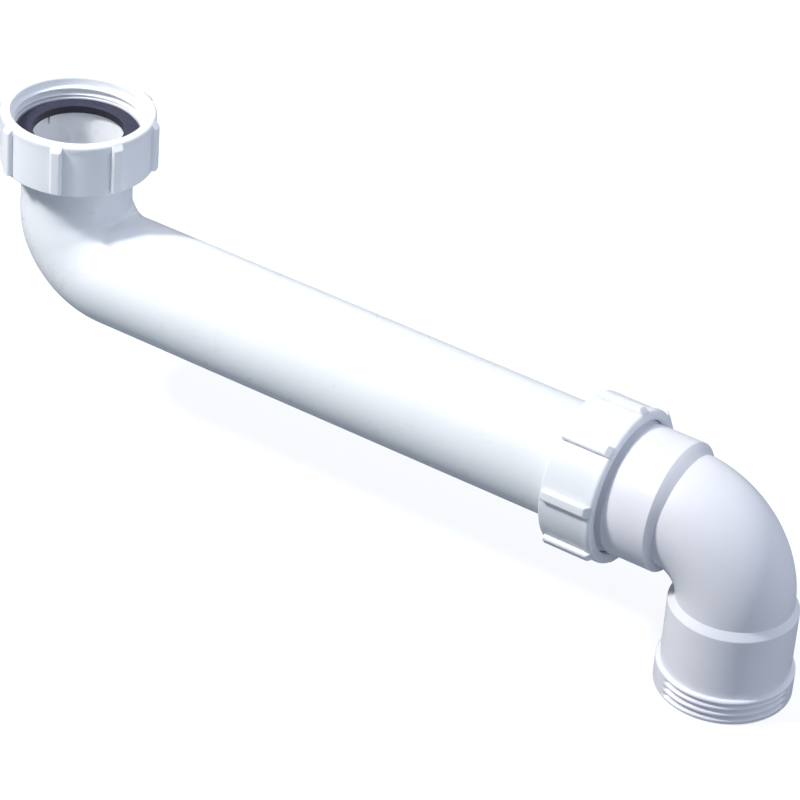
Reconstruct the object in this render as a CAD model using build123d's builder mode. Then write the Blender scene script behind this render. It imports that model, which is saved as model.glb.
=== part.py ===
from build123d import *
import math
import os

# Space-saving waste bend for a sink, in millimetres.
# +Z points up out of the inlet, +X runs along the arm to the outlet.
# The origin is the centre of the inlet nut's open mouth.

# Where things are
PIPE_AXIS_Z = -57.8          # arm axis below the inlet mouth
NUT2_MOUTH_X = 236.0         # open mouth of the outlet nut: this sets the arm's length

# Pipe: the long straight arm, with a moulded neck a little slimmer under the inlet
PIPE_R = 20.65
WALL = 2.3
NECK_STEP = 0.7
NECK_FLARE = 3.0             # it widens to the pipe's radius just above the bend
BEND_CREASE = 0.55           # the inside of the inlet bend is nearly a crease
PIPE_INSERT = 10.0           # the pipe's end reaches this far past the outlet nut's mouth
NECK_R = PIPE_R - NECK_STEP
PIPE_BORE_R = PIPE_R - WALL
NECK_BORE_R = NECK_R - WALL
INLET_BEND_R = PIPE_R + BEND_CREASE
PIPE_END_X = NUT2_MOUTH_X + PIPE_INSERT

# Socket that takes the pipe's end. Threads, of 2.6 pitch, are plain walls at their outer diameter
SLIP_FIT = 0.30              # pipe in its socket
SOCKET_CONE = 3.0            # length and depth of the coned mouth that the seal is pressed into
SOCKET_CONE_DEPTH = 1.05
THREAD_WALL = 1.7            # from the cone's wide end out to the thread's crest
SOCKET_BORE_R = PIPE_R + SLIP_FIT
SOCKET_MOUTH_R = SOCKET_BORE_R + SOCKET_CONE_DEPTH
MALE_THREAD_R = SOCKET_MOUTH_R + THREAD_WALL

# Coupling nut, the same moulding at both ends
NUT_LEN = 20.2
THREAD_FIT = 0.25
NUT_WALL = 3.45
NUT_RIM_PROUD = 0.4
NUT_RIM_LEN = 2.5
NUT_THREAD_DEPTH = 7.4
NUT_SEAT_DEPTH = 15.0        # the recess ends and the cone starts
NUT_SEAT_END = 17.2
NUT_HOLE_FIT = 0.40
RIB_COUNT = 8
RIB_PROUD = 1.95
RIB_WIDTH = 4.2
RIB_BACK_GAP = 1.3           # from the nut's back to the end of each rib
RIB_BEVEL = 1.1              # along the ribs' long edges
INLET_NUT_TURN = -23.0       # how the two loose nuts happen to stand, degrees
OUTLET_NUT_TURN = 37.0
NUT_BORE_R = MALE_THREAD_R + THREAD_FIT
NUT_BODY_R = NUT_BORE_R + NUT_WALL
NUT_RIM_R = NUT_BODY_R + NUT_RIM_PROUD
NUT_RECESS_R = SOCKET_MOUTH_R + 0.2
NUT_HOLE_R = PIPE_R + NUT_HOLE_FIT
RIB_TOP_R = NUT_BODY_R + RIB_PROUD

# Inlet washer and the flange that carries it
WASHER_GAP = 0.05            # the washer lies just under the last turn of thread
WASHER_THICK = 3.0
WASHER_FIT = 0.8             # slack round the washer, and round the flange
WASHER_LAP = 1.45            # how far the washer covers the neck's bore
FLANGE_FIT = 0.4
FLANGE_THICK = 3.6
FLANGE_CONE = 2.6
WASHER_TOP = -NUT_THREAD_DEPTH - WASHER_GAP
WASHER_R = NUT_RECESS_R - WASHER_FIT
WASHER_HOLE_R = NECK_BORE_R - WASHER_LAP
FLANGE_TOP = WASHER_TOP - WASHER_THICK
FLANGE_R = NUT_RECESS_R - FLANGE_FIT

# Slip ring and tapered seal inside the outlet nut
RING_LEN = 4.2
RING_FIT = 0.25
RING_HOLE_FIT = 0.20
SEAL_FIT = 0.20
SEAL_HOLE_FIT = 0.15
SEAL_NOSE = 2.1              # how far the seal's nose reaches into the socket's cone
RING_R = NUT_RECESS_R - RING_FIT
RING_HOLE_R = PIPE_R + RING_HOLE_FIT
SEAL_R = NUT_RECESS_R - SEAL_FIT
SEAL_HOLE_R = PIPE_R + SEAL_HOLE_FIT

# Elbow
SOCKET_ENTRY = 0.2           # the socket's mouth stands this far inside the nut's thread
SOCKET_THREAD_LEN = 8.8
SOCKET_DEPTH = 21.7          # from the socket's mouth to the stop for the pipe
COLLAR_WALL = 2.25
COLLAR_LEN = 25.2            # from the socket's mouth to the end of the collar
COLLAR_SLOPE = 2.0           # the collar ends in a slope down to the tube
TUBE_STEP = 0.35             # the tube is a little slimmer than the pipe
ELBOW_CREASE = 4.7           # from the tube's inner side to the centre of the bend
ELBOW_REACH = 24.8           # from the collar's end to the outlet's axis
THREAD_STEP = 1.5            # the outlet thread stands out from the lower collar
LOWER_COLLAR_TOP = 27.8      # this one and the two below are measured down from the arm axis
OUTLET_THREAD_TOP = 51.3
OUTLET_END = 61.0
THREAD_CHAMFER = 0.7
SOCKET_MOUTH_X = NUT2_MOUTH_X - NUT_THREAD_DEPTH + SOCKET_ENTRY
SOCKET_THREAD_END_X = SOCKET_MOUTH_X + SOCKET_THREAD_LEN
SOCKET_STOP_X = SOCKET_MOUTH_X + SOCKET_DEPTH
COLLAR_END_X = SOCKET_MOUTH_X + COLLAR_LEN
OUTLET_X = COLLAR_END_X + ELBOW_REACH        # outlet axis from the inlet axis
COLLAR_R = SOCKET_BORE_R + COLLAR_WALL
TUBE_R = PIPE_R - TUBE_STEP
TUBE_BORE_R = TUBE_R - WALL
ELBOW_BEND_R = TUBE_R + ELBOW_CREASE
LOWER_COLLAR_R = MALE_THREAD_R - THREAD_STEP

os.makedirs("parts", exist_ok=True)

arm_axis = Axis((0, 0, PIPE_AXIS_Z), (1, 0, 0))
outlet_axis = Axis((OUTLET_X, 0, 0), (0, 0, 1))


def above_arm(x, r):
    """A point of a profile drawn above the arm axis."""
    return (x, PIPE_AXIS_Z + r)


# Coupling nut, mouth up at its own origin.
# One rib: a radial plate with bevelled long edges, sloped at the mouth and at the back
rib_foot_r = NUT_BORE_R + NUT_WALL / 2
with BuildPart() as rib:
    with BuildSketch(Plane.XZ):
        with BuildLine():
            Polyline(
                (rib_foot_r, -NUT_LEN + RIB_BACK_GAP),
                (RIB_TOP_R - 0.4, -NUT_LEN + RIB_BACK_GAP),
                (RIB_TOP_R, -NUT_LEN + RIB_BACK_GAP + 0.8),
                (RIB_TOP_R, -2.0),
                (NUT_RIM_R - 0.3, -0.5),
                (rib_foot_r, -0.5),
                close=True,
            )
        make_face()
    extrude(amount=RIB_WIDTH / 2, both=True)
    chamfer(rib.faces().sort_by(Axis.X)[-1].edges().filter_by(Axis.Z), RIB_BEVEL)

with BuildPart() as nut:
    with BuildSketch(Plane.XZ) as nut_wall:
        with BuildLine():
            Polyline(
                (NUT_HOLE_R, -NUT_LEN),
                (NUT_BODY_R, -NUT_LEN),
                (NUT_BODY_R, -NUT_RIM_LEN - 0.3),
                (NUT_RIM_R, -NUT_RIM_LEN),
                (NUT_RIM_R, 0),
                (NUT_BORE_R, 0),
                (NUT_BORE_R, -NUT_THREAD_DEPTH),
                (NUT_RECESS_R, -NUT_THREAD_DEPTH),
                (NUT_RECESS_R, -NUT_SEAT_DEPTH),
                (NUT_HOLE_R, -NUT_SEAT_END),
                close=True,
            )
        make_face()
        # in a sketch the profile's own Y is the model's Z
        chamfer(nut_wall.vertices().group_by(Axis.Y)[-1].sort_by(Axis.X)[-1], 0.4)
        chamfer(nut_wall.vertices().group_by(Axis.Y)[0].sort_by(Axis.X)[-1], 0.4)
    revolve(axis=Axis.Z)
    with PolarLocations(0, RIB_COUNT):
        add(rib.part)

with BuildPart() as inlet_nut:
    add(nut.part, rotation=(0, 0, INLET_NUT_TURN))
inlet_nut.part.label = "inlet_nut"
export_step(inlet_nut.part, "parts/inlet_nut.step")

with BuildPart() as outlet_nut:
    with Locations(Location((NUT2_MOUTH_X, 0, PIPE_AXIS_Z), (0, 90, 0))):
        add(nut.part, rotation=(0, 0, OUTLET_NUT_TURN))
outlet_nut.part.label = "outlet_nut"
export_step(outlet_nut.part, "parts/outlet_nut.step")

# Flat rubber washer lying on the flange
with BuildPart() as inlet_washer:
    with BuildSketch(Plane.XY.offset(FLANGE_TOP)):
        Circle(WASHER_R)
        Circle(WASHER_HOLE_R, mode=Mode.SUBTRACT)
    extrude(amount=WASHER_THICK)
inlet_washer.part.label = "inlet_washer"
export_step(inlet_washer.part, "parts/inlet_washer.step")

# Bend pipe: flange, neck, bend and long straight pipe in one moulding
bend_top_z = PIPE_AXIS_Z + INLET_BEND_R
bend_start = Plane(origin=(0, 0, bend_top_z), x_dir=(1, 0, 0), z_dir=(0, 0, -1))
bend_end = Plane(origin=(INLET_BEND_R, 0, PIPE_AXIS_Z), x_dir=(0, 1, 0), z_dir=(1, 0, 0))
with BuildPart() as pipe:
    with BuildSketch(Plane.XZ):
        with BuildLine():
            Polyline(
                (0, bend_top_z),
                (PIPE_R, bend_top_z),
                (NECK_R, bend_top_z + NECK_FLARE),
                (NECK_R, FLANGE_TOP - FLANGE_THICK - FLANGE_CONE),
                (FLANGE_R, FLANGE_TOP - FLANGE_THICK),
                (FLANGE_R, FLANGE_TOP),
                (0, FLANGE_TOP),
                close=True,
            )
        make_face()
    revolve(axis=Axis.Z)
    with BuildLine(Plane.XZ) as bend_path:
        JernArc((0, bend_top_z), (0, -1), INLET_BEND_R, 90)
    with BuildSketch(bend_start):
        Circle(PIPE_R)
    sweep(path=bend_path.wires()[0])
    with BuildSketch(bend_end):
        Circle(PIPE_R)
    extrude(amount=PIPE_END_X - INLET_BEND_R)
    chamfer(pipe.faces().sort_by(Axis.X)[-1].edges(), 0.8)
    # bore, from the flange to the open far end
    with BuildSketch(Plane.XZ):
        with BuildLine():
            Polyline(
                (0, bend_top_z),
                (PIPE_BORE_R, bend_top_z),
                (NECK_BORE_R, bend_top_z + NECK_FLARE),
                (NECK_BORE_R, FLANGE_TOP),
                (0, FLANGE_TOP),
                close=True,
            )
        make_face()
    revolve(axis=Axis.Z, mode=Mode.SUBTRACT)
    with BuildLine(Plane.XZ) as bore_path:
        JernArc((0, bend_top_z), (0, -1), INLET_BEND_R, 90)
    with BuildSketch(bend_start):
        Circle(PIPE_BORE_R)
    sweep(path=bore_path.wires()[0], mode=Mode.SUBTRACT)
    with BuildSketch(bend_end):
        Circle(PIPE_BORE_R)
    extrude(amount=PIPE_END_X - INLET_BEND_R, mode=Mode.SUBTRACT)
pipe.part.label = "pipe"
export_step(pipe.part, "parts/pipe.step")

# Slip ring with a sloped back that seats in the nut
ring_back_x = NUT2_MOUTH_X - NUT_SEAT_END + 0.4
ring_front_x = ring_back_x + RING_LEN
with BuildPart() as slip_ring:
    with BuildSketch(Plane.XZ):
        with BuildLine():
            Polyline(
                above_arm(ring_back_x, RING_HOLE_R),
                above_arm(ring_back_x, RING_HOLE_R + 0.2),
                above_arm(NUT2_MOUTH_X - NUT_SEAT_DEPTH + 0.1, RING_R),
                above_arm(ring_front_x, RING_R),
                above_arm(ring_front_x, RING_HOLE_R),
                close=True,
            )
        make_face()
    revolve(axis=arm_axis)
slip_ring.part.label = "slip_ring"
export_step(slip_ring.part, "parts/slip_ring.step")

# Tapered rubber seal between the slip ring and the socket's coned mouth
seal_back_x = ring_front_x + 0.15
cone_slope = SOCKET_CONE_DEPTH / SOCKET_CONE
seal_taper_x = SOCKET_MOUTH_X - (SEAL_R - SOCKET_MOUTH_R + SEAL_FIT) / cone_slope
seal_nose_x = SOCKET_MOUTH_X + SEAL_NOSE
seal_nose_r = SOCKET_MOUTH_R - SEAL_FIT - SEAL_NOSE * cone_slope
with BuildPart() as outlet_seal:
    with BuildSketch(Plane.XZ):
        with BuildLine():
            Polyline(
                above_arm(seal_back_x, SEAL_HOLE_R),
                above_arm(seal_back_x, SEAL_R),
                above_arm(seal_taper_x, SEAL_R),
                above_arm(seal_nose_x, seal_nose_r),
                above_arm(seal_nose_x, SEAL_HOLE_R),
                close=True,
            )
        make_face()
    revolve(axis=arm_axis)
outlet_seal.part.label = "outlet_seal"
export_step(outlet_seal.part, "parts/outlet_seal.step")

# Outlet elbow: socket with its thread, collar, bend, lower collar and outlet thread
elbow_bend_x = OUTLET_X - ELBOW_BEND_R
elbow_bend_z = PIPE_AXIS_Z - ELBOW_BEND_R
outlet_end_z = PIPE_AXIS_Z - OUTLET_END
thread_top_z = PIPE_AXIS_Z - OUTLET_THREAD_TOP
collar_top_z = PIPE_AXIS_Z - LOWER_COLLAR_TOP
elbow_start = Plane(origin=(elbow_bend_x, 0, PIPE_AXIS_Z), x_dir=(0, 1, 0), z_dir=(1, 0, 0))
elbow_finish = Plane(origin=(OUTLET_X, 0, elbow_bend_z), x_dir=(1, 0, 0), z_dir=(0, 0, -1))
collar_end = Plane(origin=(COLLAR_END_X, 0, PIPE_AXIS_Z), x_dir=(0, 1, 0), z_dir=(1, 0, 0))
with BuildPart() as elbow:
    with BuildSketch(Plane.XZ):
        with BuildLine():
            Polyline(
                above_arm(SOCKET_MOUTH_X, 0),
                above_arm(SOCKET_MOUTH_X, MALE_THREAD_R - 0.8),
                above_arm(SOCKET_MOUTH_X + 0.8, MALE_THREAD_R),
                above_arm(SOCKET_THREAD_END_X, MALE_THREAD_R),
                above_arm(SOCKET_THREAD_END_X, COLLAR_R),
                above_arm(COLLAR_END_X, COLLAR_R),
                above_arm(COLLAR_END_X, 0),
                close=True,
            )
        make_face()
    revolve(axis=arm_axis)
    # the tube has already begun to turn where the collar's slope meets it
    with BuildLine(Plane.XZ) as tube_path:
        JernArc((elbow_bend_x, PIPE_AXIS_Z), (1, 0), ELBOW_BEND_R, -90)
    slope_turn = math.degrees(math.asin((COLLAR_END_X + COLLAR_SLOPE - elbow_bend_x) / ELBOW_BEND_R))
    slope_point = tube_path.wires()[0] @ (slope_turn / 90)
    slope_dir = tube_path.wires()[0] % (slope_turn / 90)
    slope_end = Plane(origin=slope_point, x_dir=(0, 1, 0), z_dir=slope_dir)
    with BuildSketch(collar_end):
        Circle(COLLAR_R)
    with BuildSketch(slope_end):
        Circle(TUBE_R)
    loft(ruled=True)
    with BuildLine(Plane.XZ) as elbow_path:
        JernArc(
            (slope_point.X, slope_point.Z),
            (slope_dir.X, slope_dir.Z),
            ELBOW_BEND_R,
            slope_turn - 90,
        )
    with BuildSketch(slope_end):
        Circle(TUBE_R)
    sweep(path=elbow_path.wires()[0])
    with BuildSketch(Plane.XZ):
        with BuildLine():
            Polyline(
                (OUTLET_X, elbow_bend_z),
                (OUTLET_X + TUBE_R, elbow_bend_z),
                (OUTLET_X + LOWER_COLLAR_R, collar_top_z),
                (OUTLET_X + LOWER_COLLAR_R, thread_top_z),
                (OUTLET_X + MALE_THREAD_R - 0.5, thread_top_z),
                (OUTLET_X + MALE_THREAD_R, thread_top_z - 0.5),
                (OUTLET_X + MALE_THREAD_R, outlet_end_z + THREAD_CHAMFER),
                (OUTLET_X + MALE_THREAD_R - THREAD_CHAMFER, outlet_end_z),
                (OUTLET_X, outlet_end_z),
                close=True,
            )
        make_face()
    revolve(axis=outlet_axis)
    # socket bore with its coned mouth, then the waterway
    with BuildSketch(Plane.XZ):
        with BuildLine():
            Polyline(
                above_arm(SOCKET_MOUTH_X, 0),
                above_arm(SOCKET_MOUTH_X, SOCKET_MOUTH_R),
                above_arm(SOCKET_MOUTH_X + SOCKET_CONE, SOCKET_BORE_R),
                above_arm(SOCKET_STOP_X, SOCKET_BORE_R),
                above_arm(SOCKET_STOP_X, TUBE_BORE_R),
                above_arm(elbow_bend_x, TUBE_BORE_R),
                above_arm(elbow_bend_x, 0),
                close=True,
            )
        make_face()
    revolve(axis=arm_axis, mode=Mode.SUBTRACT)
    with BuildSketch(elbow_start):
        Circle(TUBE_BORE_R)
    with BuildLine(Plane.XZ) as waterway:
        JernArc((elbow_bend_x, PIPE_AXIS_Z), (1, 0), ELBOW_BEND_R, -90)
    sweep(path=waterway.wires()[0], mode=Mode.SUBTRACT)
    with BuildSketch(elbow_finish):
        Circle(TUBE_BORE_R)
    extrude(amount=OUTLET_END - ELBOW_BEND_R, mode=Mode.SUBTRACT)
    chamfer(
        elbow.edges().filter_by(GeomType.CIRCLE).group_by(Axis.Z)[0].sort_by(SortBy.RADIUS)[0],
        0.6,
    )
elbow.part.label = "elbow"
export_step(elbow.part, "parts/elbow.step")
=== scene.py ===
# Space-saving waste bend: threads, rounded edges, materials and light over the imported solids.
import math

import bmesh
import bpy
from mathutils import Matrix, Vector


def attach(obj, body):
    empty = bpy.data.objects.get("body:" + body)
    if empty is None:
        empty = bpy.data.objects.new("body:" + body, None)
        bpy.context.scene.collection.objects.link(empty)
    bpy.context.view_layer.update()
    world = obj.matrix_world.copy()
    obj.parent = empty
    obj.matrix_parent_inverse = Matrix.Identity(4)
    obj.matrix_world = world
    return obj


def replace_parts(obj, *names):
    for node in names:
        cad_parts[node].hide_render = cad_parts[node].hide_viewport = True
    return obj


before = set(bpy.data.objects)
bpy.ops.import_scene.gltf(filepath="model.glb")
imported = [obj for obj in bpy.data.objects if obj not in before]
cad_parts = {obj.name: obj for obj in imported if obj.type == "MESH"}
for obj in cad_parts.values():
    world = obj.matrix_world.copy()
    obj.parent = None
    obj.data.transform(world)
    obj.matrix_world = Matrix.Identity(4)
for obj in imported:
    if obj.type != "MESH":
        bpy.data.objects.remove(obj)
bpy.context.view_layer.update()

MM = 0.001
ROUND_STEPS = 192            # facets round every turned wall
BEND_STEPS = 56              # facets along the elbow's bend
THREAD_ROW = 0.1             # mm between the rings that carry a thread
SHARP_OVER = 32              # degrees between faces that meet in a crisp edge
SOFTEN_OVER = 25             # degrees between faces whose edge is rounded

# Sizes in millimetres, as in the part's source
PIPE_AXIS_Z = -57.8
OUTLET_X = 278.8
NUT2_MOUTH_X = 236.0
THREAD_PITCH = 2.6
MALE_THREAD_R = 23.7
NUT_BORE_R = 23.95
NUT_LEN = 20.2
NUT_BODY_R = 27.4
NUT_RIM_R = 27.65
NUT_RIM_LEN = 2.5
NUT_THREAD_DEPTH = 7.4
NUT_RECESS_R = 22.2
NUT_SEAT_DEPTH = 15.0
NUT_SEAT_END = 17.2
NUT_HOLE_R = 21.05
RIB_COUNT = 8
RIB_TOP_R = 29.33
RIB_WIDTH = 4.2
RIB_FOOT_R = 25.65           # inside the nut's wall
RIB_BACK_GAP = 1.3
RIB_ROUND = 1.05
RIB_ROUND_FACETS = 6
RIB_MOUTH_GAP = 0.35
RIB_SLOPE = 2.2              # depth at which a rib's mouth end starts to slope
RIB_END_BEVEL = 0.3
INLET_NUT_TURN = -23.0
OUTLET_NUT_TURN = 37.0
WASHER_TOP = -7.45
WASHER_THICK = 3.0
WASHER_R = 21.4
WASHER_HOLE_R = 16.2
WASHER_ROUND = 0.3
FLASH_AT = 167.0             # where a tail of rubber flash hangs from the washer's inner edge, degrees
FLASH_LEN = 3.2
FLASH_TIP_R = 0.14
FLASH_ROOT_R = 0.36
FLANGE_TOP = -10.45
FLANGE_UNDER = -14.05
FLANGE_CONE_END = -16.65
FLANGE_R = 21.8
NECK_R = 19.95
PIPE_R = 20.65
WALL = 2.3
INLET_BEND_R = 21.2
PIPE_END_X = 246.0
NECK_WIDENS_FROM = -3.0      # along the pipe's centre line, from where the bend starts
NECK_WIDENS_TO = 10.0
NECK_RING = 0.5              # mm between the rings that carry the widening
SOCKET_MOUTH_X = 228.8
SOCKET_BORE_R = 20.95
SOCKET_MOUTH_R = 22.0
SOCKET_CONE = 3.0
SOCKET_THREAD_LEN = 8.8
RELIEF_R = 22.3              # plain groove between the socket's thread and its collar
RELIEF_LEN = 2.8
SOCKET_DEPTH = 21.7
COLLAR_LEN = 25.2
COLLAR_R = 23.2
COLLAR_SLOPE = 2.0
SLOPE_ROUND = 0.3
TUBE_R = 20.3
TUBE_BORE_R = 18.0
ELBOW_BEND_R = 25.0
LOWER_COLLAR_TOP = 27.8
LOWER_COLLAR_R = 22.2
OUTLET_THREAD_TOP = 51.3
OUTLET_END = 61.0
THREAD_CHAMFER = 0.7
SOCKET_CHAMFER = 0.8
SHOULDER_CHAMFER = 0.5
BORE_CHAMFER = 0.6

# Thread form: the nuts' ridges are a little narrower and shallower than the grooves they run in
GROOVE_DEPTH = 1.5
GROOVE_TOP = 1.65
GROOVE_BOTTOM = 0.6
OUTLET_GROOVE_DEPTH = 1.2    # the outlet's own thread is a plain V
OUTLET_GROOVE_TOP = 2.1
OUTLET_GROOVE_BOTTOM = 0.2
RIDGE_HEIGHT = 1.45
RIDGE_FOOT = 1.45
RIDGE_CREST = 0.35
NUT_THREAD_START = -3.1      # first turn below the nut's smooth mouth
NUT_BORE_TOP = -0.7          # where the mouth's rounding ends
THREAD_FADE = 0.6            # mm over which a thread runs in and out of its wall
RIDGE_HEIGHT_AT = (146.5, -4.0)   # angle in the moulding, and depth, of one point on the ridge's crest
OUTLET_GROOVE_AT = (308.0, -53.05)  # angle round the outlet, and depth below the arm, in a groove
OUTLET_THREAD_FACES = 300.0  # the outlet's grooves stop short of where the two halves of the mould met
OUTLET_THREAD_HALF = 57.0
THREAD_RUNS_OUT = 7.0        # degrees
THREAD_END_GAP = 1.2

FLOOR_HALF = 12.0            # m
FLOOR_DROP = 0.05

# Soft light of the room: direction it comes from, level and colour
ROOM_LIGHT = (
    ((0.87, 0.0, 0.50), 0.99, "#e2edff"),
    ((0.0, 1.0, 0.0), 0.76, "#fafcff"),
    ((0.0, 0.0, 1.0), 0.32, "#f4f8ff"),
)


# Colours and nodes

def linear(hex_colour):
    """An sRGB hex colour as the linear RGBA that the nodes take."""
    channels = [int(hex_colour[i:i + 2], 16) / 255 for i in (1, 3, 5)]
    return tuple(c / 12.92 if c <= 0.04045 else ((c + 0.055) / 1.055) ** 2.4 for c in channels) + (1.0,)


def add_node(tree, kind, settings=(), inputs=()):
    """Adds one node, with its settings, and its inputs as values or as links from other sockets."""
    node = tree.nodes.new(kind)
    for name, value in dict(settings).items():
        setattr(node, name, value)
    for name, value in dict(inputs).items():
        if isinstance(value, bpy.types.NodeSocket):
            tree.links.new(value, node.inputs[name])
        else:
            node.inputs[name].default_value = value
    return node


def new_material(name):
    """An empty material with its output node, ready for a surface."""
    material = bpy.data.materials.new(name)
    material.use_nodes = True
    material.node_tree.nodes.clear()
    return material, add_node(material.node_tree, "ShaderNodeOutputMaterial")


def moulded_polypropylene(name, light, dark, rough_low, rough_high):
    """White polypropylene: a satin, slightly waxy plastic that lets a little light in."""
    material, output = new_material(name)
    tree = material.node_tree
    place = add_node(tree, "ShaderNodeTexCoord").outputs["Object"]
    # slow drift of the white where the melt cooled at different speeds, about 25 mm across
    flow = add_node(tree, "ShaderNodeTexNoise", inputs={"Vector": place, "Scale": 1 / (25 * MM), "Detail": 2.0})
    colour = add_node(tree, "ShaderNodeMix", {"data_type": "RGBA"}, {"Factor": flow.outputs["Fac"]})
    colour_in = [s for s in colour.inputs if s.type == "RGBA"]
    colour_in[0].default_value = linear(light)
    colour_in[1].default_value = linear(dark)
    colour_out = [s for s in colour.outputs if s.type == "RGBA"][0]
    # polish of the steel mould wears unevenly, in patches of about 8 mm
    polish = add_node(tree, "ShaderNodeTexNoise", inputs={"Vector": place, "Scale": 1 / (8 * MM), "Detail": 3.0})
    rough = add_node(
        tree,
        "ShaderNodeMapRange",
        inputs={"Value": polish.outputs["Fac"], "From Min": 0.3, "From Max": 0.7,
                "To Min": rough_low, "To Max": rough_high},
    )
    # the mould's fine grain is really about 0.1 mm, drawn at 0.5 mm so that it shows
    grain = add_node(tree, "ShaderNodeTexNoise", inputs={"Vector": place, "Scale": 1 / (0.5 * MM), "Detail": 3.0})
    # shallow shrink marks, 12 mm across, bend the highlights a little
    shrink = add_node(tree, "ShaderNodeTexNoise", inputs={"Vector": place, "Scale": 1 / (12 * MM), "Detail": 1.0})
    fine = add_node(
        tree,
        "ShaderNodeBump",
        inputs={"Height": grain.outputs["Fac"], "Strength": 0.12, "Distance": 0.03 * MM},
    )
    waves = add_node(
        tree,
        "ShaderNodeBump",
        inputs={"Height": shrink.outputs["Fac"], "Strength": 0.12, "Distance": 0.12 * MM,
                "Normal": fine.outputs["Normal"]},
    )
    shader = add_node(
        tree,
        "ShaderNodeBsdfPrincipled",
        inputs={"Base Color": colour_out, "Roughness": rough.outputs["Result"], "Normal": waves.outputs["Normal"],
                "IOR": 1.49, "Subsurface Weight": 0.25, "Subsurface Radius": (1.0, 1.0, 1.0),
                "Subsurface Scale": 1.5 * MM},
    )
    tree.links.new(shader.outputs["BSDF"], output.inputs["Surface"])
    return material


def black_rubber(name):
    """Moulded sealing rubber: dark with a violet cast, dull, with a faint bloom and fine pits; the bloom is laid on
    the flat faces only, as painted light that leaves the walls darker.
    """
    material, output = new_material(name)
    tree = material.node_tree
    place = add_node(tree, "ShaderNodeTexCoord").outputs["Object"]
    # bloom lies in clouds of about 4 mm; it is laid on the flat faces only, which is painted light: the flat faces
    # read lighter and the walls darker
    bloom = add_node(tree, "ShaderNodeTexNoise", inputs={"Vector": place, "Scale": 1 / (4 * MM), "Detail": 4.0})
    across = add_node(tree, "ShaderNodeTexCoord").outputs["Normal"]
    # painted light: how squarely a face looks along the washer's axis, so that the flat faces come out lighter than
    # the walls
    flat = add_node(tree, "ShaderNodeMath", {"operation": "ABSOLUTE"})
    tree.links.new(add_node(tree, "ShaderNodeSeparateXYZ", inputs={"Vector": across}).outputs["Z"], flat.inputs[0])
    bloom_and_painted_light = add_node(tree, "ShaderNodeMath", {"operation": "MULTIPLY"})
    tree.links.new(bloom.outputs["Fac"], bloom_and_painted_light.inputs[0])
    tree.links.new(flat.outputs[0], bloom_and_painted_light.inputs[1])
    colour = add_node(tree, "ShaderNodeMix", {"data_type": "RGBA"}, {"Factor": bloom_and_painted_light.outputs[0]})
    colour_in = [s for s in colour.inputs if s.type == "RGBA"]
    # the walls' dark colour, and the lighter colour that the bloom and the painted light give the flat faces
    colour_in[0].default_value = linear("#1d1c2b")
    colour_in[1].default_value = linear("#42415c")
    colour_out = [s for s in colour.outputs if s.type == "RGBA"][0]
    # pits from the mould, about 0.4 mm
    pits = add_node(tree, "ShaderNodeTexNoise", inputs={"Vector": place, "Scale": 1 / (0.4 * MM), "Detail": 3.0})
    relief = add_node(
        tree,
        "ShaderNodeBump",
        inputs={"Height": pits.outputs["Fac"], "Strength": 0.3, "Distance": 0.05 * MM},
    )
    shader = add_node(
        tree,
        "ShaderNodeBsdfPrincipled",
        inputs={"Base Color": colour_out, "Roughness": 0.6, "Normal": relief.outputs["Normal"], "IOR": 1.52},
    )
    tree.links.new(shader.outputs["BSDF"], output.inputs["Surface"])
    return material


# Mesh helpers, all in millimetres until a piece is placed

def turned(bm, profile, closed=True):
    """Spins a line of (radius, height) points once round Z."""
    verts = [bm.verts.new((radius, 0, height)) for radius, height in profile]
    edges = [bm.edges.new(pair) for pair in zip(verts, verts[1:])]
    if closed:
        edges.append(bm.edges.new((verts[-1], verts[0])))
    bmesh.ops.spin(bm, geom=verts + edges, cent=(0, 0, 0), axis=(0, 0, 1), angle=2 * math.pi,
                   steps=ROUND_STEPS, use_merge=True)
    bmesh.ops.remove_doubles(bm, verts=bm.verts, dist=0.0005)
    bmesh.ops.recalc_face_normals(bm, faces=bm.faces)


def bevel(bm, edges, width, segments):
    bmesh.ops.bevel(bm, geom=edges, offset=width, offset_type="OFFSET", segments=segments, profile=0.5,
                    affect="EDGES", material=-1, clamp_overlap=True)


def soften(bm, width, segments):
    """Rounds every sharp edge."""
    bevel(bm, [e for e in bm.edges if len(e.link_faces) == 2 and e.calc_face_angle() > math.radians(SOFTEN_OVER)],
          width, segments)


def radius_of(vert):
    return math.hypot(vert.co.x, vert.co.y)


def rows_for_thread(bm, wall_r, low, high):
    """Cuts the plain wall of a thread into fine rings."""
    long_edges = [
        e for e in bm.edges
        if all(abs(radius_of(v) - wall_r) < 0.01 and low - 1 < v.co.z < high + 1 for v in e.verts)
        and abs(e.verts[0].co.z - e.verts[1].co.z) > 1.0
    ]
    length = abs(long_edges[0].verts[0].co.z - long_edges[0].verts[1].co.z)
    bmesh.ops.subdivide_edges(bm, edges=long_edges, cuts=round(length / THREAD_ROW), use_grid_fill=True)


def ease(value):
    """A soft step from 0 to 1."""
    value = min(max(value, 0.0), 1.0)
    return value * value * (3 - 2 * value)


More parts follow.
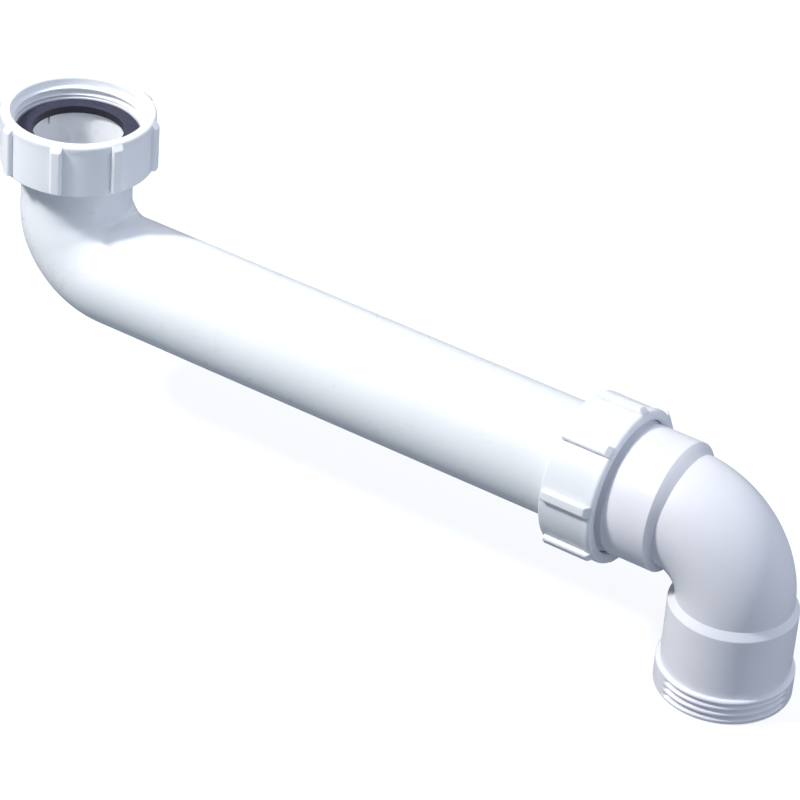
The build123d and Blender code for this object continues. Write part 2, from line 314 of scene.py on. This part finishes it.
def form_thread(bm, wall_r, through, height, foot, crest, low, high, faces=None):
    """Moves a wall inwards along a right-hand helix through one (angle, height) point.

    Where faces names an angle, only the sectors about it and opposite it are threaded."""
    for vert in bm.verts:
        if abs(radius_of(vert) - wall_r) > 0.01 or not low - THREAD_FADE < vert.co.z < high + THREAD_FADE:
            continue
        angle = math.degrees(math.atan2(vert.co.y, vert.co.x))
        off = (vert.co.z - through[1] - THREAD_PITCH * (angle - through[0]) / 360) % THREAD_PITCH
        off = min(off, THREAD_PITCH - off)
        ends = ease((vert.co.z - low) / THREAD_FADE + 0.5) * ease((high - vert.co.z) / THREAD_FADE + 0.5)
        if faces is not None:
            aside = abs((angle - faces + 90) % 180 - 90)
            ends *= ease((OUTLET_THREAD_HALF - aside) / THREAD_RUNS_OUT + 0.5)
        inward = height * ends * ease((foot / 2 - off) / (foot / 2 - crest / 2))
        scale = (wall_r - inward) / wall_r
        vert.co.x *= scale
        vert.co.y *= scale


def finished_piece(name, bm, place, body, material):
    """Places the mesh in metres, makes it an object and hands it to its body."""
    bmesh.ops.transform(bm, matrix=place @ Matrix.Scale(MM, 4), verts=bm.verts)
    bmesh.ops.recalc_face_normals(bm, faces=bm.faces)
    mesh = bpy.data.meshes.new(name)
    bm.to_mesh(mesh)
    bm.free()
    for polygon in mesh.polygons:
        polygon.use_smooth = True
    mesh.set_sharp_from_angle(angle=math.radians(SHARP_OVER))
    piece = bpy.data.objects.new(name, mesh)
    bpy.context.scene.collection.objects.link(piece)
    piece.data.materials.append(material)
    weighted = piece.modifiers.new("flat faces stay flat", "WEIGHTED_NORMAL")
    weighted.keep_sharp = True
    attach(piece, body)
    return piece


# The pieces

def add_rib(bm, angle):
    """One grip rib: a bar with round shoulders up the nut's side, cut at a slope where it meets the rim."""
    half = RIB_WIDTH / 2
    turns = [math.radians(90 * step / RIB_ROUND_FACETS) for step in range(RIB_ROUND_FACETS + 1)]
    shoulder = [(RIB_TOP_R - RIB_ROUND * (1 - math.sin(turn)), half - RIB_ROUND * (1 - math.cos(turn)))
                for turn in turns]
    outline = [(RIB_FOOT_R, half)] + shoulder
    outline += [(radius, -side) for radius, side in reversed(outline)]
    before = set(bm.verts)
    back = -NUT_LEN + RIB_BACK_GAP
    end = bm.faces.new([bm.verts.new((radius, side, back)) for radius, side in outline])
    grown = bmesh.ops.extrude_face_region(bm, geom=[end])["geom"]
    bmesh.ops.translate(bm, verts=[item for item in grown if isinstance(item, bmesh.types.BMVert)],
                        vec=(0, 0, -RIB_MOUTH_GAP - back))
    new = [v for v in bm.verts if v not in before]
    rib = new + list({e for v in new for e in v.link_edges}) + list({f for v in new for f in v.link_faces})
    cut = bmesh.ops.bisect_plane(bm, geom=rib, plane_co=(RIB_TOP_R, 0, -RIB_SLOPE), clear_outer=True,
                                 plane_no=(RIB_SLOPE - RIB_MOUTH_GAP, 0, RIB_TOP_R - NUT_RIM_R + 0.2))["geom_cut"]
    slope = [item for item in cut if isinstance(item, bmesh.types.BMEdge)]
    bmesh.ops.contextual_create(bm, geom=slope)
    new = [v for v in bm.verts if v not in before]
    rims = slope + [e for v in new for e in v.link_edges if all(abs(w.co.z - back) < 0.01 for w in e.verts)]
    rims = {e for e in rims if max(w.co.x for w in e.verts) > RIB_FOOT_R + 1.0}
    bevel(bm, list(rims), RIB_END_BEVEL, 3)
    new = [v for v in bm.verts if v not in before]
    bmesh.ops.rotate(bm, verts=new, cent=(0, 0, 0), matrix=Matrix.Rotation(math.radians(angle), 3, "Z"))


def coupling_nut(name, place, body, material):
    """The captive nut, mouth up: a wall with its internal thread, a low rim and eight ribs."""
    bm = bmesh.new()
    turned(bm, [
        (NUT_HOLE_R, -NUT_LEN + 0.3), (NUT_HOLE_R + 0.3, -NUT_LEN), (NUT_BODY_R - 0.4, -NUT_LEN),
        (NUT_BODY_R, -NUT_LEN + 0.4), (NUT_BODY_R, -NUT_RIM_LEN - 1.0), (NUT_RIM_R, -NUT_RIM_LEN),
        (NUT_RIM_R, -0.9), (NUT_RIM_R - 0.3, -0.3), (NUT_RIM_R - 0.9, 0), (NUT_BORE_R + 0.7, 0),
        (NUT_BORE_R + 0.2, -0.2), (NUT_BORE_R, NUT_BORE_TOP),
        (NUT_BORE_R, -NUT_THREAD_DEPTH), (NUT_RECESS_R, -NUT_THREAD_DEPTH),
        (NUT_RECESS_R, -NUT_SEAT_DEPTH), (NUT_HOLE_R, -NUT_SEAT_END),
    ])
    soften(bm, 0.2, 2)
    rows_for_thread(bm, NUT_BORE_R, -NUT_THREAD_DEPTH, NUT_BORE_TOP)
    form_thread(bm, NUT_BORE_R, RIDGE_HEIGHT_AT, RIDGE_HEIGHT, RIDGE_FOOT, RIDGE_CREST,
                -NUT_THREAD_DEPTH, NUT_THREAD_START)
    for index in range(RIB_COUNT):
        add_rib(bm, index * 360 / RIB_COUNT)
    return finished_piece(name, bm, place, body, material)


def facing_x(x, z):
    """Stands a turned piece's axis along the arm."""
    return Matrix.Translation((x * MM, 0, z * MM)) @ Matrix.Rotation(math.radians(90), 4, "Y")


def turned_by(degrees):
    return Matrix.Rotation(math.radians(degrees), 4, "Z")


def washer(material):
    """Flat inlet washer with rounded edges, and a short tail of flash on its inner edge."""
    bm = bmesh.new()
    low = WASHER_TOP - WASHER_THICK
    turned(bm, [(WASHER_HOLE_R, low), (WASHER_R, low), (WASHER_R, WASHER_TOP), (WASHER_HOLE_R, WASHER_TOP)])
    soften(bm, WASHER_ROUND, 3)
    before = set(bm.verts)
    bmesh.ops.create_cone(bm, cap_ends=True, segments=8, radius1=FLASH_TIP_R, radius2=FLASH_ROOT_R, depth=FLASH_LEN)
    tail = [v for v in bm.verts if v not in before]
    bmesh.ops.scale(bm, verts=tail, vec=(0.6, 1.0, 1.0))
    bmesh.ops.translate(bm, verts=tail, vec=(WASHER_HOLE_R + 0.35, 0, low - 1.2))
    bmesh.ops.rotate(bm, verts=tail, cent=(0, 0, 0), matrix=Matrix.Rotation(math.radians(FLASH_AT), 3, "Z"))
    return finished_piece("washer_with_flash", bm, Matrix.Identity(4), "pipe", material)


def swept(bm, radii, centre, stand, start, turn):
    """Rings on one plane, swept round a bend's centre from a starting angle, in radians about Y."""
    for radius in radii:
        bmesh.ops.create_circle(bm, cap_ends=False, segments=ROUND_STEPS, radius=radius, matrix=stand)
    bmesh.ops.rotate(bm, verts=bm.verts, cent=centre, matrix=Matrix.Rotation(start, 3, "Y"))
    bmesh.ops.spin(bm, geom=bm.verts[:] + bm.edges[:], cent=centre, axis=(0, 1, 0), angle=turn, steps=BEND_STEPS)


def joined(parts):
    """Welds the parts of one moulding."""
    whole = bmesh.new()
    for part in parts:
        mesh = bpy.data.meshes.new("part")
        part.to_mesh(mesh)
        part.free()
        whole.from_mesh(mesh)
        bpy.data.meshes.remove(mesh)
    bmesh.ops.remove_doubles(whole, verts=whole.verts, dist=0.002)
    return whole


def neck_radius(along):
    """The pipe's radius near its neck, by the distance past the start of the bend."""
    grown = ease((along - NECK_WIDENS_FROM) / (NECK_WIDENS_TO - NECK_WIDENS_FROM))
    return NECK_R + (PIPE_R - NECK_R) * grown


def bend_pipe(material):
    """Flange, neck, bend and the long arm as one moulding, open at both ends."""
    bend_top = PIPE_AXIS_Z + INLET_BEND_R
    neck = bmesh.new()
    flare = [ring * NECK_RING for ring in range(round(-NECK_WIDENS_FROM / NECK_RING) + 1)]
    turned(neck, [(neck_radius(-along), bend_top + along) for along in flare] + [
        (NECK_R, FLANGE_CONE_END), (FLANGE_R, FLANGE_UNDER), (FLANGE_R, FLANGE_TOP), (NECK_R - WALL, FLANGE_TOP),
    ] + [(neck_radius(-along) - WALL, bend_top + along) for along in reversed(flare)], closed=False)
    centre = Vector((INLET_BEND_R, 0, bend_top))
    bend = bmesh.new()
    swept(bend, (PIPE_R, PIPE_R - WALL), centre, Matrix.Translation((0, 0, bend_top)), 0.0, -math.pi / 2)
    for vert in bend.verts:
        out = vert.co - centre
        swing = math.atan2(-out.z, -out.x)
        middle = centre - Vector((math.cos(swing), 0, math.sin(swing))) * INLET_BEND_R
        spoke = vert.co - middle
        slimmer = PIPE_R - neck_radius(swing * INLET_BEND_R)
        vert.co = middle + spoke * (1 - slimmer / spoke.length)
    arm = bmesh.new()
    bmesh.ops.create_circle(arm, cap_ends=False, segments=ROUND_STEPS, radius=PIPE_R)
    bmesh.ops.create_circle(arm, cap_ends=False, segments=ROUND_STEPS, radius=PIPE_R - WALL)
    bmesh.ops.transform(arm, matrix=Matrix.Translation((INLET_BEND_R, 0, PIPE_AXIS_Z))
                        @ Matrix.Rotation(math.radians(90), 4, "Y"), verts=arm.verts)
    grown = bmesh.ops.extrude_edge_only(arm, edges=arm.edges[:])["geom"]
    bmesh.ops.translate(arm, verts=[v for v in grown if isinstance(v, bmesh.types.BMVert)],
                        vec=(PIPE_END_X - INLET_BEND_R, 0, 0))
    far_end = [e for e in arm.edges if all(v.co.x > PIPE_END_X - 0.01 for v in e.verts)]
    bmesh.ops.bridge_loops(arm, edges=far_end)
    whole = joined((neck, bend, arm))
    piece = finished_piece("bend_pipe_moulding", whole, Matrix.Identity(4), "pipe", material)
    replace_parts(piece, "pipe")
    return piece


def outlet_elbow(material):
    """Socket, collar, bend, lower collar and outlet thread as one moulding."""
    # socket and collar, turned mouth down at the socket's mouth
    socket = bmesh.new()
    bend_start = OUTLET_X - ELBOW_BEND_R - SOCKET_MOUTH_X
    turned(socket, [
        (COLLAR_R, COLLAR_LEN), (COLLAR_R, SOCKET_THREAD_LEN), (RELIEF_R, SOCKET_THREAD_LEN - 0.3),
        (RELIEF_R, SOCKET_THREAD_LEN - RELIEF_LEN), (MALE_THREAD_R, SOCKET_THREAD_LEN - RELIEF_LEN - 0.7),
        (MALE_THREAD_R, SOCKET_CHAMFER), (MALE_THREAD_R - SOCKET_CHAMFER, 0), (SOCKET_MOUTH_R, 0),
        (SOCKET_BORE_R, SOCKET_CONE), (SOCKET_BORE_R, SOCKET_DEPTH), (TUBE_BORE_R, SOCKET_DEPTH),
        (TUBE_BORE_R, bend_start),
    ], closed=False)
    soften(socket, 0.15, 2)
    rows_for_thread(socket, MALE_THREAD_R, 0, SOCKET_THREAD_LEN)
    # the nut's ridge, seen from the socket's mouth
    ridge = (RIDGE_HEIGHT_AT[0] + OUTLET_NUT_TURN, RIDGE_HEIGHT_AT[1] + NUT2_MOUTH_X - SOCKET_MOUTH_X)
    form_thread(socket, MALE_THREAD_R, ridge, GROOVE_DEPTH, GROOVE_TOP, GROOVE_BOTTOM, -1.0, SOCKET_THREAD_LEN)
    bmesh.ops.transform(socket, matrix=Matrix.Translation((SOCKET_MOUTH_X, 0, PIPE_AXIS_Z))
                        @ Matrix.Rotation(math.radians(90), 4, "Y"), verts=socket.verts)
    # lower collar and outlet thread, turned round the outlet's axis
    leg = bmesh.new()
    turned(leg, [
        (TUBE_R, -ELBOW_BEND_R), (LOWER_COLLAR_R, -LOWER_COLLAR_TOP), (LOWER_COLLAR_R, -OUTLET_THREAD_TOP),
        (MALE_THREAD_R - SHOULDER_CHAMFER, -OUTLET_THREAD_TOP),
        (MALE_THREAD_R, -OUTLET_THREAD_TOP - SHOULDER_CHAMFER),
        (MALE_THREAD_R, -OUTLET_END + THREAD_CHAMFER), (MALE_THREAD_R - THREAD_CHAMFER, -OUTLET_END),
        (TUBE_BORE_R + BORE_CHAMFER, -OUTLET_END), (TUBE_BORE_R, -OUTLET_END + BORE_CHAMFER),
        (TUBE_BORE_R, -ELBOW_BEND_R),
    ], closed=False)
    soften(leg, 0.2, 2)
    rows_for_thread(leg, MALE_THREAD_R, -OUTLET_END, -OUTLET_THREAD_TOP)
    form_thread(leg, MALE_THREAD_R, OUTLET_GROOVE_AT, OUTLET_GROOVE_DEPTH, OUTLET_GROOVE_TOP, OUTLET_GROOVE_BOTTOM,
                -OUTLET_END - 1.0, -OUTLET_THREAD_TOP - THREAD_END_GAP, faces=OUTLET_THREAD_FACES)
    bmesh.ops.translate(leg, verts=leg.verts, vec=(OUTLET_X, 0, PIPE_AXIS_Z))
    # bend: two rings swept a quarter turn, less the part that the collar's slope covers
    bend = bmesh.new()
    centre = Vector((OUTLET_X - ELBOW_BEND_R, 0, PIPE_AXIS_Z - ELBOW_BEND_R))
    collar_end_x = SOCKET_MOUTH_X + COLLAR_LEN
    slope_turn = math.asin((collar_end_x + COLLAR_SLOPE - centre.x) / ELBOW_BEND_R)
    stand = Matrix.Translation((centre.x, 0, PIPE_AXIS_Z)) @ Matrix.Rotation(math.radians(90), 4, "Y")
    swept(bend, (TUBE_R, TUBE_BORE_R), centre, stand, slope_turn, math.pi / 2 - slope_turn)
    whole = joined((socket, leg, bend))
    open_edges = [e for e in whole.edges if e.is_boundary]
    for inner in (False, True):
        rings = [e for e in open_edges
                 if (math.hypot(e.verts[0].co.y, e.verts[0].co.z - PIPE_AXIS_Z) < TUBE_BORE_R + 1) == inner]
        bmesh.ops.bridge_loops(whole, edges=rings)
    # round the two rims of the collar's slope
    slope_end = centre + Vector((math.sin(slope_turn), 0, math.cos(slope_turn))) * ELBOW_BEND_R
    along = Vector((math.cos(slope_turn), 0, -math.sin(slope_turn)))

    def on_slope_rim(vert):
        from_axis = math.hypot(vert.co.y, vert.co.z - PIPE_AXIS_Z)
        spoke = vert.co - slope_end
        return (abs(vert.co.x - collar_end_x) < 0.01 and abs(from_axis - COLLAR_R) < 0.01) or \
            (abs(spoke.dot(along)) < 0.01 and abs(spoke.length - TUBE_R) < 0.02)

    rims = [e for e in whole.edges if all(on_slope_rim(v) for v in e.verts)]
    bevel(whole, rims, SLOPE_ROUND, 3)
    piece = finished_piece("elbow_with_threads", whole, Matrix.Identity(4), "elbow", material)
    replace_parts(piece, "elbow")
    return piece


# Stage, light and camera

def pale_floor():
    """A plain white sheet under the part, which keeps its soft shadow."""
    bm = bmesh.new()
    bmesh.ops.create_grid(bm, x_segments=2, y_segments=2, size=FLOOR_HALF)
    bmesh.ops.translate(bm, verts=bm.verts, vec=(0, 0, (PIPE_AXIS_Z - OUTLET_END - FLOOR_DROP) * MM))
    mesh = bpy.data.meshes.new("floor")
    bm.to_mesh(mesh)
    bm.free()
    floor = bpy.data.objects.new("floor", mesh)
    bpy.context.scene.collection.objects.link(floor)
    material, output = new_material("white_paper_sheet")
    tree = material.node_tree
    sheet = add_node(tree, "ShaderNodeBsdfDiffuse", inputs={"Color": linear("#838a92")})
    seen = add_node(tree, "ShaderNodeLightPath").outputs["Is Camera Ray"]
    glow = add_node(tree, "ShaderNodeEmission", inputs={"Color": (1, 1, 1, 1), "Strength": 0.85})
    dark = add_node(tree, "ShaderNodeEmission", inputs={"Strength": 0.0})
    only_seen = add_node(tree, "ShaderNodeMixShader")
    tree.links.new(seen, only_seen.inputs[0])
    tree.links.new(dark.outputs[0], only_seen.inputs[1])
    tree.links.new(glow.outputs[0], only_seen.inputs[2])
    both = add_node(tree, "ShaderNodeAddShader")
    tree.links.new(sheet.outputs[0], both.inputs[0])
    tree.links.new(only_seen.outputs[0], both.inputs[1])
    tree.links.new(both.outputs[0], output.inputs["Surface"])
    floor.data.materials.append(material)


def sky_light():
    """A dim room with soft light from beyond the outlet, from behind and from above, white where it is seen."""
    world = bpy.data.worlds.new("studio")
    bpy.context.scene.world = world
    world.use_nodes = True
    tree = world.node_tree
    tree.nodes.clear()
    output = add_node(tree, "ShaderNodeOutputWorld")
    direction = add_node(tree, "ShaderNodeTexCoord").outputs["Generated"]
    room = None
    for axis, level, colour in ROOM_LIGHT:
        facing = add_node(tree, "ShaderNodeVectorMath", {"operation": "DOT_PRODUCT"})
        tree.links.new(direction, facing.inputs[0])
        facing.inputs[1].default_value = axis
        near = add_node(tree, "ShaderNodeMapRange", inputs={
            "Value": facing.outputs["Value"], "From Min": 0.0, "From Max": 1.0,
            "To Min": 0.0, "To Max": math.sqrt(level)})
        square = add_node(tree, "ShaderNodeMath", {"operation": "MULTIPLY"})
        for socket in square.inputs[:2]:
            tree.links.new(near.outputs["Result"], socket)
        glow = add_node(tree, "ShaderNodeBackground", inputs={"Color": linear(colour), "Strength": square.outputs[0]})
        if room is not None:
            both = add_node(tree, "ShaderNodeAddShader")
            tree.links.new(room.outputs[0], both.inputs[0])
            tree.links.new(glow.outputs[0], both.inputs[1])
            glow = both
        room = glow
    seen = add_node(tree, "ShaderNodeBackground", inputs={"Color": (1, 1, 1, 1), "Strength": 1.0})
    choose = add_node(tree, "ShaderNodeMixShader")
    tree.links.new(add_node(tree, "ShaderNodeLightPath").outputs["Is Camera Ray"], choose.inputs[0])
    tree.links.new(room.outputs[0], choose.inputs[1])
    tree.links.new(seen.outputs[0], choose.inputs[2])
    tree.links.new(choose.outputs[0], output.inputs["Surface"])


def soft_box(name, at, aim, size, power, colour):
    """A square studio lamp, in metres and watts."""
    lamp = bpy.data.lights.new(name, "AREA")
    lamp.shape = "SQUARE"
    lamp.size = size
    lamp.energy = power
    lamp.color = linear(colour)[:3]
    light = bpy.data.objects.new(name, lamp)
    bpy.context.scene.collection.objects.link(light)
    light.location = at
    light.rotation_euler = (Vector(aim) - Vector(at)).to_track_quat("-Z", "Y").to_euler()


def photo_camera():
    """The photograph's viewpoint, fitted to the part's edges."""
    lens = bpy.data.cameras.new("camera")
    lens.sensor_width = 36.0
    lens.lens = 168.844
    lens.clip_end = 50.0
    camera = bpy.data.objects.new("camera", lens)
    bpy.context.scene.collection.objects.link(camera)
    right = Vector((0.82618641, 0.55920833, 0.06857159))
    up = Vector((-0.35381247, 0.42026939, 0.83557787))
    back = Vector((0.43844357, -0.71460456, 0.54507574))
    turn = Matrix((right, up, back)).transposed().to_4x4()
    camera.matrix_world = Matrix.Translation((0.710707, -0.926218, 0.644010)) @ turn
    bpy.context.scene.camera = camera


photo_camera()
nut_plastic = moulded_polypropylene("moulded_polypropylene_nuts", "#f2f4f9", "#edf0f6", 0.30, 0.40)
elbow_plastic = moulded_polypropylene("moulded_polypropylene_elbow", "#f1f1f8", "#ebecf4", 0.32, 0.42)
pipe_plastic = moulded_polypropylene("moulded_polypropylene_pipe", "#f3f5f9", "#eef1f6", 0.26, 0.36)
rubber = black_rubber("black_sealing_rubber")

inlet_nut = coupling_nut("inlet_nut_threaded", turned_by(INLET_NUT_TURN), "inlet_nut", nut_plastic)
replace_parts(inlet_nut, "inlet_nut")
outlet_nut = coupling_nut("outlet_nut_threaded", facing_x(NUT2_MOUTH_X, PIPE_AXIS_Z) @ turned_by(OUTLET_NUT_TURN),
                          "outlet_nut", nut_plastic)
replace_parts(outlet_nut, "outlet_nut")
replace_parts(washer(rubber), "inlet_washer")
bend_pipe(pipe_plastic)
outlet_elbow(elbow_plastic)

for node, material in (("slip_ring", nut_plastic), ("outlet_seal", rubber)):
    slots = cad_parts[node].material_slots
    if not slots:
        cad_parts[node].data.materials.append(material)
    for slot in slots:
        slot.material = material

pale_floor()
sky_light()
soft_box("key", (-0.50, -0.60, 0.90), (0.12, 0.0, -0.04), 0.16, 16.0, "#fffefc")
soft_box("near fill", (-0.08, -0.30, 0.36), (0.14, 0.0, -0.05), 0.10, 0.45, "#f6fbff")
bpy.context.scene.view_settings.view_transform = "Standard"
